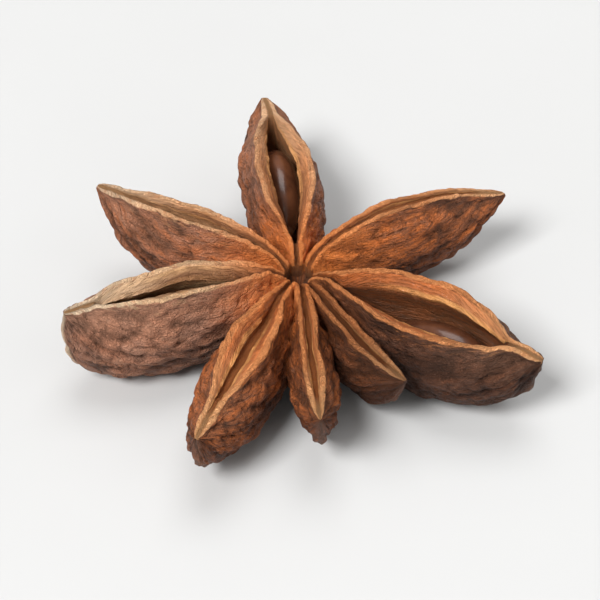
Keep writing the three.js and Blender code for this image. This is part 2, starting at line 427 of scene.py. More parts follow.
@dataclass(frozen=True)
class Wrinkles:
    """How drying has puckered the husk, in millimetres or as shares."""

    depth: float = 0.42
    level: float = 0.55  # the relief that stays where the smooth wall was
    fine_depth: float = 0.24
    fine_level: float = 0.5
    calm_at_lip: float = 0.85
    calm_height: Span = (0.86, 1.0)
    full_half_width: float = 1.3
    skin_height: float = 7.5  # from keel to lip, where wrinkles keep their size
    skin_evened: float = 0.6
    keel_ridge: float = 0.12
    keel_width: float = 0.35
    keel_reach: Span = (0.25, 0.6)
    inner_ripple: float = 0.07
    ledge: float = 0.1
    lip_lift: float = 0.6
    lip_reach: float = 0.55  # the share of the height from which the wall waves with the lip
    lip_reach_inside: float = 0.7
    seeds_apart: float = 10.0  # in the noise, from one carpel to the next
    first_phase: float = 0.4
    phases_apart: float = 1.7
    grain_apart: float = 40.0
    layer_apart: float = 0.7
    drift: Pattern = Pattern(1.6, 0.28, 0.3, layer=0.5)
    sway: Pattern = Pattern(0.9, 0.3, 0.35, layer=20.5)
    lengthwise: Pattern = Pattern(0.58, 0.2, 0.95, layer=40.5)
    net: Pattern = Pattern(0.42, 0.62, 0.8, layer=60.5)
    tremble: Pattern = Pattern(0.5, 0.8, 0.8, layer=90.5)
    fine: Pattern = Pattern(1.0, 0.9, 2.1, layer=80.5)
    lip_swell: Pattern = Pattern(0.35, 0.8, 9.0)
    lip_wave: Pattern = Pattern(0.16, 0.45, 3.0)
    lip_nick: Pattern = Pattern(0.1, 1.6, 5.0)
    lip_chip: Pattern = Pattern(0.06, 3.2, 7.0)

    def relief(self, along: Array, around: Array, number: float) -> Array:
        """Ridges and furrows that run mostly lengthwise.

        Args:
            along: length along the carpel.
            around: height round the section, negative on one side.
            number: the carpel's number.

        Returns:
            0 in a furrow to 1 on a ridge.
        """
        u = along + self.drift.waves(along, around, number)
        v = around + self.sway.waves(along, around, number)
        return self.lengthwise.ridges(u, v, number) + self.net.ridges(u, v, number)

    def pucker(self, along: Array, around: Array, number: float) -> Array:
        """Returns the finer creases between the large ones, 0 to 1."""
        sway = self.tremble.waves(along, around, number)
        return self.fine.ridges(along + sway / self.fine.along, around + sway, number)


@dataclass(frozen=True)
class MeshSteps:
    """How finely a carpel is divided."""

    rings: int
    wall: int
    edge: int
    face: int
    cavity: int


OPEN_CARPEL = MeshSteps(rings=124, wall=38, edge=6, face=4, cavity=9)
SHUT_CARPEL = MeshSteps(rings=120, wall=36, edge=5, face=2, cavity=3)
THIN_CARPEL = MeshSteps(rings=92, wall=28, edge=5, face=2, cavity=3)
THIN_BELOW = 4.0  # millimetres of width


# ---- shader node groups and finishes ----


class Shader:
    """A material's node tree, with short ways to add nodes and join them."""

    def __init__(self, tree: bpy.types.NodeTree) -> None:
        """Keeps the tree that nodes are added to."""
        self.tree = tree

    def node(self, kind: str, **settings: object) -> bpy.types.Node:
        """Adds a node.

        Args:
            kind: its type name.
            settings: its properties, or its inputs by name as a dict under inputs.

        Returns:
            The node.
        """
        inputs = settings.pop("inputs", {})
        made = self.tree.nodes.new(kind)
        for name, value in settings.items():
            setattr(made, name, value)
        for name, value in inputs.items():
            self.feed(made.inputs[name], value)
        return made

    def feed(self, socket: Socket, value: object) -> None:
        """Joins an output to the socket, or sets the socket's own value."""
        if isinstance(value, Socket):
            self.tree.links.new(value, socket)
        else:
            socket.default_value = value

    def math(self, operation: str, *values: object) -> Socket:
        """Adds a Math node.

        Args:
            operation: what it works out.
            values: its inputs, each a number or a socket.

        Returns:
            Its output.
        """
        made = self.node("ShaderNodeMath", operation=operation)
        for socket, value in zip(made.inputs, values):
            self.feed(socket, value)
        return made.outputs[0]

    def times(self, first: object, *others: object) -> Socket:
        """Returns the product of all the values."""
        for other in others:
            first = self.math("MULTIPLY", first, other)
        return first

    def plus(self, first: object, *others: object) -> Socket:
        """Returns the sum of all the values."""
        for other in others:
            first = self.math("ADD", first, other)
        return first

    def between(self, share: object, span: Span) -> Socket:
        """Returns the span's first number where the share is 0, and its second where it is 1."""
        return self.math("MULTIPLY_ADD", share, span[1] - span[0], span[0])

    def ease(self, value: object, low: object, high: object) -> Socket:
        """Returns the value eased from 0 at low to 1 at high."""
        inputs = {"Value": value, "From Min": low, "From Max": high}
        made = self.node("ShaderNodeMapRange", interpolation_type="SMOOTHSTEP", inputs=inputs)
        return made.outputs["Result"]

    def blend(self, share: object, a: object, b: object, kind: str = "RGBA") -> Socket:
        """Mixes two colours, or two numbers.

        Args:
            share: how much of b, a number or a socket.
            a: the first.
            b: the second.
            kind: RGBA for colours, FLOAT for numbers.

        Returns:
            The mixture.
        """
        inputs = {"Factor": share, "A": self.opaque(a), "B": self.opaque(b)}
        return self.node("ShaderNodeMix", data_type=kind, inputs=inputs).outputs["Result"]

    @staticmethod
    def opaque(value: object) -> object:
        """Returns an RGB tuple with its alpha, and anything else as it is."""
        return (*value, 1.0) if isinstance(value, tuple) else value

    def vector(self, attribute: str) -> Socket:
        """Returns a vector attribute of the mesh."""
        return self.node("ShaderNodeAttribute", attribute_name=attribute).outputs["Vector"]

    def parts(self, attribute: str) -> list[Socket]:
        """Returns the three numbers of a vector attribute of the mesh."""
        return list(self.node("ShaderNodeSeparateXYZ", inputs={"Vector": self.vector(attribute)}).outputs)

    def place(self) -> Socket:
        """Returns the position in the object's own frame."""
        return self.node("ShaderNodeTexCoord").outputs["Object"]

    def stretched(self, vector: Socket, scale: tuple[float, float, float]) -> Socket:
        """Returns the vector with each of its numbers scaled."""
        return self.node("ShaderNodeMapping", inputs={"Vector": vector, "Scale": scale}).outputs["Vector"]

    def bumped(self, height: Socket, strength: float, distance: float) -> Socket:
        """Returns the normal that a relief of this height gives, with the distance in metres."""
        inputs = {"Height": height, "Strength": strength, "Distance": distance}
        return self.node("ShaderNodeBump", inputs=inputs).outputs["Normal"]


FLOAT, VECTOR = "NodeSocketFloat", "NodeSocketVector"


class SharedEffects:
    """Node groups that more than one finish uses, each built once.

    Each turns a position into a mask from 0 to 1, eased between its inputs Low and High.
    """

    def __init__(self) -> None:
        """Builds the groups."""
        self.mottle = self.group("Mottle", 0.35, 0.65, detail=5.0, roughness=0.62)
        self.creases = self.group("Creases", 1.25, 1.65, ridged=True, detail=3.0)

    @staticmethod
    def group(
        name: str, low: float, high: float, detail: float, roughness: float = 0.5, ridged: bool = False
    ) -> bpy.types.NodeTree:
        """Builds a group.

        Args:
            name: its name.
            low: the noise that gives 0, unless a material says otherwise.
            high: the noise that gives 1, likewise.
            detail: how many finer layers of noise are added.
            roughness: how strong those layers are.
            ridged: True for a net of narrow creases, False for soft patches.

        Returns:
            The group.
        """
        tree = bpy.data.node_groups.new(name, "ShaderNodeTree")
        tree.interface.new_socket("Position", in_out="INPUT", socket_type=VECTOR)
        for label, start in (("Scale", 1.0), ("Low", low), ("High", high)):
            tree.interface.new_socket(label, in_out="INPUT", socket_type=FLOAT).default_value = start
        tree.interface.new_socket("Mask", in_out="OUTPUT", socket_type=FLOAT)
        given = tree.nodes.new("NodeGroupInput").outputs
        sink = tree.nodes.new("NodeGroupOutput")
        shader = Shader(tree)
        net = shader.node("ShaderNodeTexNoise")
        inputs = {"Vector": given["Position"], "Scale": given["Scale"]}
        inputs |= {"Detail": detail, "Roughness": roughness}
        if ridged:
            net.noise_type = "RIDGED_MULTIFRACTAL"
            net.normalize = True
            inputs |= {"Offset": 1.0, "Gain": 2.0}
        for label, value in inputs.items():
            shader.feed(net.inputs[label], value)
        shader.feed(sink.inputs["Mask"], shader.ease(net.outputs["Fac"], given["Low"], given["High"]))
        return tree

    @staticmethod
    def mask(
        shader: Shader, group: bpy.types.NodeTree, position: Socket, scale: float, low: float, high: float
    ) -> Socket:
        """Puts a group in a material.

        Args:
            shader: the material's shader helper.
            group: the group.
            position: what it is laid over.
            scale: how fine it is, in patches for each unit of the position.
            low: the noise that gives 0.
            high: the noise that gives 1.

        Returns:
            The mask.
        """
        inputs = {"Position": position, "Scale": scale, "Low": low, "High": high}
        return shader.node("ShaderNodeGroup", node_tree=group, inputs=inputs).outputs["Mask"]


def new_material(name: str) -> tuple[bpy.types.Material, Shader, bpy.types.Node]:
    """Starts a material.

    Args:
        name: its name.

    Returns:
        The material, its shader helper and its Principled BSDF.
    """
    material = bpy.data.materials.new(name)
    material.use_nodes = True
    return material, Shader(material.node_tree), material.node_tree.nodes["Principled BSDF"]


class Mask(Enum):
    """What the husk's colour, gloss and fine relief are worked out from, mostly from 0 to 1."""

    ALONG = "share of the way from the axis to the beak"
    HEIGHT = "share of the way from the keel to the lip"
    INTO = "depth into the split"
    EDGE = "closeness to the edge of the split, or to the keel when below 0"
    WORN = "closeness to that edge, made uneven by wear"
    RIM = "1 on the edges of the split"
    OUTSIDE = "1 on the wrinkled outside"
    LINING = "1 in the cavity and the pit"
    KEEL = "1 along the ridge of the keel"
    RELIEF = "0 in a furrow to 1 on a ridge"
    CREASE = "0 in a fine crease to 1 beside it"
    HEART = "closeness to the heart of the star"
    BLEACH = "how far gone to a greyish tan"
    RUDDY = "how far kept orange brown"
    DARK = "how much darker than its neighbours"
    HUED = "how far either bleached or kept orange brown"
    GLOW = "how far the orange of the heart spreads over the wall"
    WARMTH = "how orange brown the wall is, before its streaks"
    LIGHT = "how light the bottom of the cavity is"
    PATCHES = "patches a few millimetres wide"
    STREAKS = "lengthwise streaks"
    FLECKS = "specks of less than half a millimetre"
    CRACKS = "a net of fine cracks"
    FIBRES = "fine lengthwise fibres"
    GRIT = "the finest roughness"


@dataclass(frozen=True)
class Factor:
    """A mask made into a strength.

    Attributes:
        mask: the mask.
        ease: where it begins and where it is full, or None to take it as it is.
        gain: the strength where it is then 0 and where it is 1, or None for 0 and 1.
    """

    mask: Mask
    ease: Span | None = None
    gain: Span | None = None


Terms = list[list[Factor]]  # a sum of products


@dataclass(frozen=True)
class Layer:
    """A colour laid over what is under it.

    Attributes:
        name: what it stands for, which labels its node.
        colour: the colour, or the pair that a mask mixes.
        terms: its strength, or nothing for the ground.
        by: the mask that mixes the pair.
    """

    name: str
    colour: Colour | tuple[Colour, Colour]
    terms: Terms | None = None
    by: Mask = Mask.BLEACH


Coat = tuple[Layer, ...]

READ = {
    "marks": (Mask.EDGE, Mask.INTO, Mask.RELIEF),
    "tones": (Mask.BLEACH, Mask.RUDDY, Mask.DARK),
    "spots": (Mask.ALONG, Mask.HEIGHT, Mask.CREASE),
}

# Worked out in this order: CRACKS and BLEACH take the place of what they are made from, BLEACH after HUED.
DERIVED: dict[Mask, Terms] = {
    Mask.HEART: [[Factor(Mask.ALONG, ease=(0.5, 0.08))]],
    Mask.OUTSIDE: [[Factor(Mask.INTO, ease=(0.04, 0.0))]],
    Mask.LINING: [[Factor(Mask.INTO, ease=(0.19, 0.26))]],
    Mask.KEEL: [[Factor(Mask.EDGE, ease=(-0.25, -0.8))]],
    Mask.WORN: [
        [Factor(Mask.EDGE)],
        [Factor(Mask.STREAKS, gain=(0.0, 0.18))],
        [Factor(Mask.FLECKS, gain=(-0.06, -0.18))],
    ],
    Mask.RIM: [[Factor(Mask.WORN, ease=(0.5, 0.75))]],
    Mask.CRACKS: [[Factor(Mask.CRACKS), Factor(Mask.PATCHES, gain=(0.6, 1.0))]],
    Mask.HUED: [[Factor(Mask.RUDDY)], [Factor(Mask.BLEACH)]],
    Mask.GLOW: [[Factor(Mask.HEART), Factor(Mask.HUED, ease=(0.0, 0.6))]],
    Mask.BLEACH: [[Factor(Mask.BLEACH), Factor(Mask.HEART, gain=(1.0, 0.15))]],
    Mask.WARMTH: [
        [Factor(Mask.GLOW), Factor(Mask.HEIGHT, ease=(0.25, 0.75))],
        [Factor(Mask.RUDDY), Factor(Mask.HEIGHT, ease=(0.05, 0.75), gain=(0.5, 1.0))],
    ],
}


@dataclass
class HuskMasks:
    """The husk's masks, and the strengths and colours that they give."""

    shader: Shader
    effects: SharedEffects
    line_stretch: tuple[float, float, float] = (0.45, 2.4, 1.0)
    crack_stretch: tuple[float, float, float] = (0.7, 1.5, 1.0)
    lightest: float = 0.9
    found: dict[Mask, Socket] = field(default_factory=dict)

    def __post_init__(self) -> None:
        """Reads the mesh's vectors, adds the patterns and works out the other masks."""
        shader, found = self.shader, self.found
        for attribute, masks in READ.items():
            found.update(zip(masks, shader.parts(attribute)))
        mottle, creases = self.effects.mottle, self.effects.creases
        grain = shader.vector("grain")
        lines = shader.stretched(grain, self.line_stretch)
        loose = shader.stretched(grain, self.crack_stretch)
        for mask, group, place, scale, low, high in (
            (Mask.PATCHES, mottle, shader.place(), 300.0, 0.42, 0.62),
            (Mask.STREAKS, mottle, lines, 1.3, 0.42, 0.6),
            (Mask.FLECKS, mottle, grain, 2.6, 0.45, 0.7),
            (Mask.GRIT, mottle, grain, 7.0, 0.38, 0.62),
            (Mask.CRACKS, creases, loose, 1.0, 1.3, 1.65),
            (Mask.FIBRES, creases, lines, 1.8, 1.1, 1.7),
        ):
            found[mask] = self.effects.mask(shader, group, place, scale, low, high)
        for mask, terms in DERIVED.items():
            found[mask] = self.total(terms)
        found[Mask.WARMTH] = shader.math("MINIMUM", found[Mask.WARMTH], 1.0)
        light = shader.math("MAXIMUM", found[Mask.BLEACH], found[Mask.RUDDY])
        found[Mask.LIGHT] = shader.times(light, self.lightest)

    def strength(self, factor: Factor) -> Socket:
        """Eases a factor's mask and gives it its gain.

        Args:
            factor: the factor.

        Returns:
            The strength that it gives.
        """
        value = self.found[factor.mask]
        if factor.ease:
            value = self.shader.ease(value, *factor.ease)
        if factor.gain:
            value = self.shader.between(value, factor.gain)
        return value

    def total(self, terms: Terms) -> Socket:
        """Returns the sum of the terms, each the product of its factors."""
        return self.shader.plus(*(self.shader.times(*map(self.strength, term)) for term in terms))

    def colour(self, coat: Coat) -> Socket:
        """Lays the layers of a coat over each other.

        Args:
            coat: its layers, from the ground up.

        Returns:
            The colour that they make.
        """
        made = None
        for layer in coat:
            colour = layer.colour
            if isinstance(colour[0], tuple):
                colour = self.shader.blend(self.found[layer.by], *colour)
            if layer.terms:
                made = self.shader.blend(self.total(layer.terms), made, colour)
                made.node.label = layer.name
            else:
                made = colour
        return made


@dataclass(frozen=True)
class Palette:
    """The husk's colours."""

    # furrow is painted shade, laid in the wrinkles' furrows and fine creases, along the cracks and low on the
    # walls.
    furrow: Colour = (0.024, 0.01, 0.006)
    wall_brown: Colour = (0.06, 0.025, 0.015)
    wall_grey: Colour = (0.58, 0.265, 0.16)
    wall_ruddy: Colour = (0.74, 0.19, 0.038)
    aged: Colour = (0.085, 0.03, 0.012)
    bloom: Colour = (0.42, 0.28, 0.22)
    # Real dust on the ridges and the keel, and painted sheen high on the walls and towards the beak.
    dust_and_sheen: Colour = (0.54, 0.28, 0.175)
    edge_orange: Colour = (0.78, 0.28, 0.09)
    edge_tan: Colour = (0.8, 0.5, 0.28)
    beak_orange: Colour = (0.95, 0.48, 0.21)
    beak_pale: Colour = (0.98, 0.75, 0.52)
    face_orange: Colour = (0.62, 0.165, 0.04)
    face_tan: Colour = (0.64, 0.36, 0.17)
    # A painted highlight along the brink of the cavity.
    brink_highlight: Colour = (0.92, 0.45, 0.15)
    heart_orange: Colour = (1.0, 0.28, 0.06)
    lining: Colour = (0.14, 0.05, 0.022)
    lining_ruddy: Colour = (0.56, 0.18, 0.055)
    lining_tan: Colour = (0.58, 0.35, 0.18)
    # lining_deep and lining_shallow are painted shade at the bottom of the cavity, for dark and for pale
    # carpels.
    lining_deep: Colour = (0.11, 0.045, 0.024)
    lining_shallow: Colour = (0.46, 0.25, 0.12)


HUE = Palette()
BEAK = (HUE.beak_orange, HUE.beak_pale)
BOTTOM = (HUE.lining_deep, HUE.lining_shallow)

# The husk's coats, from the ground up, then its roughness and the relief that is finer than its mesh.
WALL: Coat = (
    Layer("ground", (HUE.wall_brown, HUE.wall_grey)),
    Layer("bloom", HUE.bloom, [[Factor(Mask.PATCHES), Factor(Mask.BLEACH, gain=(0.0, 0.45))]]),
    Layer("warmth", HUE.wall_ruddy, [[Factor(Mask.WARMTH), Factor(Mask.STREAKS, gain=(0.45, 1.0))]]),
    # Painted shade in the furrows of the wrinkles, less near the heart.
    Layer("furrows", HUE.furrow, [
        [Factor(Mask.RELIEF, ease=(0.75, 0.2)), Factor(Mask.HEART, gain=(0.7, 0.35))],
    ]),
    # Painted shade in the fine creases.
    Layer("creases", HUE.furrow, [[Factor(Mask.CREASE, ease=(0.55, 0.1), gain=(0.0, 0.5))]]),
    # Painted shade along the fine cracks that the bump sinks.
    Layer("cracks", HUE.furrow, [[Factor(Mask.CRACKS, gain=(0.0, 0.6))]]),
    Layer("shaded foot", HUE.furrow, [
        [Factor(Mask.HEIGHT, ease=(0.92, 0.2), gain=(0.0, 0.2))],
        [
            Factor(Mask.HEIGHT, ease=(0.92, 0.2), gain=(0.0, 0.66)),
            Factor(Mask.ALONG, ease=(0.72, 0.15)),
            Factor(Mask.BLEACH, gain=(1.0, 0.4)),
        ],
    ]),
    Layer("glow", HUE.heart_orange, [
        [Factor(Mask.GLOW), Factor(Mask.HEIGHT, ease=(0.5, 0.85)), Factor(Mask.RELIEF, gain=(0.5, 1.0))],
    ]),
    # Real dust on ridges and along the keel; painted sheen high up where bleached and towards the beak.
    Layer("dust_and_sheen", HUE.dust_and_sheen, [  # on ridges, along the keel, high up where bleached, and at the beak
        [Factor(Mask.RELIEF, ease=(0.5, 0.9)), Factor(Mask.FLECKS), Factor(Mask.BLEACH, gain=(0.18, 0.7))],
        [Factor(Mask.KEEL), Factor(Mask.ALONG, ease=(0.35, 0.8), gain=(0.0, 0.16))],
        [Factor(Mask.HEIGHT, ease=(0.4, 0.95)), Factor(Mask.BLEACH, gain=(0.0, 0.35))],
        [Factor(Mask.ALONG, ease=(0.45, 0.95)), Factor(Mask.HEIGHT, ease=(0.35, 0.9), gain=(0.0, 0.2))],
    ]),
    Layer("pale front of the keel", HUE.beak_pale, [[
        Factor(Mask.KEEL),
        Factor(Mask.ALONG, ease=(0.7, 0.88)),
        Factor(Mask.STREAKS, gain=(0.85, 0.5)),
        Factor(Mask.BLEACH, ease=(0.4, 1.0)),
    ]]),
)
FACE: Coat = (
    Layer("ground", (HUE.face_orange, HUE.face_tan)),
    Layer("streaks", HUE.lining, [[Factor(Mask.STREAKS, gain=(0.0, 0.4))]]),
    # Painted shade: the face darkens towards the lining deeper into the split, most where bleached and less
    # towards the beak.
    Layer("darker inwards", HUE.lining, [[
        Factor(Mask.INTO, ease=(0.03, 0.15)),
        Factor(Mask.BLEACH, gain=(0.3, 0.8)),
        Factor(Mask.ALONG, ease=(0.55, 0.8), gain=(1.0, 0.4)),
    ]]),
    Layer("beak", BEAK, [[Factor(Mask.ALONG, ease=(0.5, 0.9), gain=(0.0, 0.55))]]),
    Layer("fibres", HUE.lining, [[Factor(Mask.FIBRES, gain=(0.0, 0.25))]]),
    # Painted highlight: a bright orange line along the brink of the cavity, strongest on carpels that aren't
    # bleached.
    Layer("line along the brink", HUE.brink_highlight, [[
        Factor(Mask.INTO, ease=(0.13, 0.17)),
        Factor(Mask.ALONG, ease=(0.25, 0.6)),
        Factor(Mask.BLEACH, gain=(0.65, 0.0975)),
    ]]),
)
RIM: Coat = (
    Layer("ground", (HUE.edge_orange, HUE.edge_tan)),
    Layer("glow", HUE.heart_orange, [[Factor(Mask.GLOW, gain=(0.0, 0.55))]]),
    Layer("beak", BEAK, [[Factor(Mask.ALONG, ease=(0.6, 0.95), gain=(0.0, 0.9))]]),
    Layer("flecks", HUE.face_orange, [[Factor(Mask.FLECKS, gain=(0.0, 0.4))]]),
    Layer("scuffs", HUE.wall_brown, [
        [Factor(Mask.PATCHES), Factor(Mask.FIBRES, gain=(0.1, 0.4)), Factor(Mask.HEART, gain=(1.0, 0.2))],
    ]),
)
INSIDE: Coat = (
    Layer("ground", HUE.lining),
    Layer("warmth", HUE.lining_ruddy, [[Factor(Mask.RUDDY, gain=(0.0, 0.9))]]),
    Layer("bleach", HUE.lining_tan, [[Factor(Mask.BLEACH)]]),
    # Painted shade: darker towards the bottom of the cavity.
    Layer("bottom", BOTTOM, [[Factor(Mask.INTO, ease=(0.35, 0.85))]], by=Mask.LIGHT),
    Layer("beak", HUE.face_tan, [[Factor(Mask.ALONG, ease=(0.82, 0.93), gain=(0.0, 0.85))]]),
    Layer("streaks", HUE.face_orange, [[Factor(Mask.STREAKS, gain=(0.0, 0.25))]]),
)
OUTER_ROUGHNESS: Terms = [[Factor(Mask.RIM, gain=(0.5, 0.62))], [Factor(Mask.FLECKS, gain=(0.0, 0.22))]]
INNER_ROUGHNESS: Terms = [[Factor(Mask.STREAKS, gain=(0.3, 0.5))]]
SUNK: Terms = [
    [Factor(Mask.CRACKS), Factor(Mask.OUTSIDE, gain=(0.05, 0.5))],
    [Factor(Mask.GRIT), Factor(Mask.OUTSIDE, gain=(0.1, 0.35))],
    [Factor(Mask.FIBRES, gain=(0.0, 0.2))],
]


@dataclass(frozen=True)
class HuskFinish:
    """The dried husk: dull wrinkled walls, thin pale edges, smooth faces and a polished lining."""

    aged: float = 0.75
    specular: float = 0.22
    bump: float = 1.0
    bump_distance: float = 0.3 * MM

    def build(self, effects: SharedEffects) -> bpy.types.Material:
        """Builds the material.

        Args:
            effects: the shared node groups.

        Returns:
            The husk's material, which reads the mesh's grain, marks, tones and spots.
        """
        material, shader, skin = new_material("husk")
        masks = HuskMasks(shader, effects)
        found = masks.found
        colour = shader.blend(found[Mask.OUTSIDE], masks.colour(FACE), masks.colour(WALL))
        colour = shader.blend(found[Mask.RIM], colour, masks.colour(RIM))
        colour = shader.blend(found[Mask.LINING], colour, masks.colour(INSIDE))
        aged = shader.times(found[Mask.DARK], self.aged)
        shader.feed(skin.inputs["Base Color"], shader.blend(aged, colour, HUE.aged))
        outer = shader.math("MAXIMUM", found[Mask.OUTSIDE], found[Mask.RIM])
        sleek, dull = masks.total(INNER_ROUGHNESS), masks.total(OUTER_ROUGHNESS)
        shader.feed(skin.inputs["Roughness"], shader.blend(outer, sleek, dull, kind="FLOAT"))
        height = shader.math("SUBTRACT", 1.0, masks.total(SUNK))
        shader.feed(skin.inputs["Normal"], shader.bumped(height, self.bump, self.bump_distance))
        skin.inputs["Specular IOR Level"].default_value = self.specular
        return material


@dataclass(frozen=True)
class SeedCoatFinish:
    """A hard, glossy brown seed coat."""

    dark: Colour = (0.04, 0.013, 0.007)
    light: Colour = (0.14, 0.05, 0.022)
    scar: Colour = (0.36, 0.21, 0.12)
    seam: float = 0.35
    roughness: Span = (0.2, 0.6)
    pit_strength: float = 0.12
    pit_shade_mark: float = 0.05 * MM

    def build(self, effects: SharedEffects) -> bpy.types.Material:
        """Builds the material.

        Args:
            effects: the shared node groups.

        Returns:
            The seeds' material, which reads the mesh's marks.
        """
        material, shader, skin = new_material("seed_coat")
        scar, seam, _ = shader.parts("marks")
        place = shader.place()
        cloud = effects.mask(shader, effects.mottle, place, scale=330.0, low=0.3, high=0.72)
        coat = shader.blend(cloud, self.dark, self.light)
        coat = shader.blend(shader.times(seam, self.seam), coat, self.light)
        shader.feed(skin.inputs["Base Color"], shader.blend(scar, coat, self.scar))
        shader.feed(skin.inputs["Roughness"], shader.between(scar, self.roughness))
        pits = effects.mask(shader, effects.mottle, place, scale=900.0, low=0.35, high=0.65)
        shader.feed(skin.inputs["Normal"], shader.bumped(pits, self.pit_strength, self.pit_shade_mark))
        return material


@dataclass(frozen=True)
class FloorFinish:
    """A plain pale matt surface."""

    pale: Colour = (0.58, 0.58, 0.576)
    paler: Colour = (0.61, 0.61, 0.606)
    roughness: float = 0.85
    specular: float = 0.2

    def build(self, effects: SharedEffects) -> bpy.types.Material:
        """Builds the material.

        Args:
            effects: the shared node groups.

        Returns:
            The floor's material.
        """
        material, shader, skin = new_material("pale_floor")
        cloud = effects.mask(shader, effects.mottle, shader.place(), scale=9.0, low=0.3, high=0.7)
        shader.feed(skin.inputs["Base Color"], shader.blend(cloud, self.pale, self.paler))
        skin.inputs["Roughness"].default_value = self.roughness
        skin.inputs["Specular IOR Level"].default_value = self.specular
        return material


# ---- the pieces ----


def add_vectors(mesh: bpy.types.Mesh, name: str, values: Array) -> None:
    """Stores a vector for each point of a mesh.

    Args:
        mesh: the mesh.
        name: the attribute's name.
        values: one row for each point.
    """
    attribute = mesh.attributes.new(name, "FLOAT_VECTOR", "POINT")
    attribute.data.foreach_set("vector", np.ascontiguousarray(values, np.float32).ravel())


def points_of(mesh: bpy.types.Mesh) -> Array:
    """Returns the points of a mesh, one row each."""
    values = np.zeros(len(mesh.vertices) * 3, np.float32)
    mesh.vertices.foreach_get("co", values)
    return values.reshape(-1, 3)


def add_object(name: str, data: bpy.types.ID) -> bpy.types.Object:
    """Puts a mesh, a light or a camera in the scene.

    Args:
        name: the object's name.
        data: the mesh, the light or the camera.

    Returns:
        The object.
    """
    made = bpy.data.objects.new(name, data)
    bpy.context.scene.collection.objects.link(made)
    return made


class Stations(NamedTuple):
    """Where the points of one side of a section lie.

    Attributes:
        zone: the part of the section that each lies on.
        height: its share of the height.
        into: its depth into the split.
        edge: its closeness to the edge.
        beyond: how many millimetres of skin lie between it and the wall.
    """

    zone: Array | float
    height: Array | float
    into: Array | float
    edge: Array | float
    beyond: Array | float


KEEL_POINT = Stations(zone=Zone.WALL.value, height=0, into=0, edge=0, beyond=0)
FLOOR_POINT = Stations(zone=Zone.CAVITY.value, height=0, into=1, edge=0, beyond=5.4)


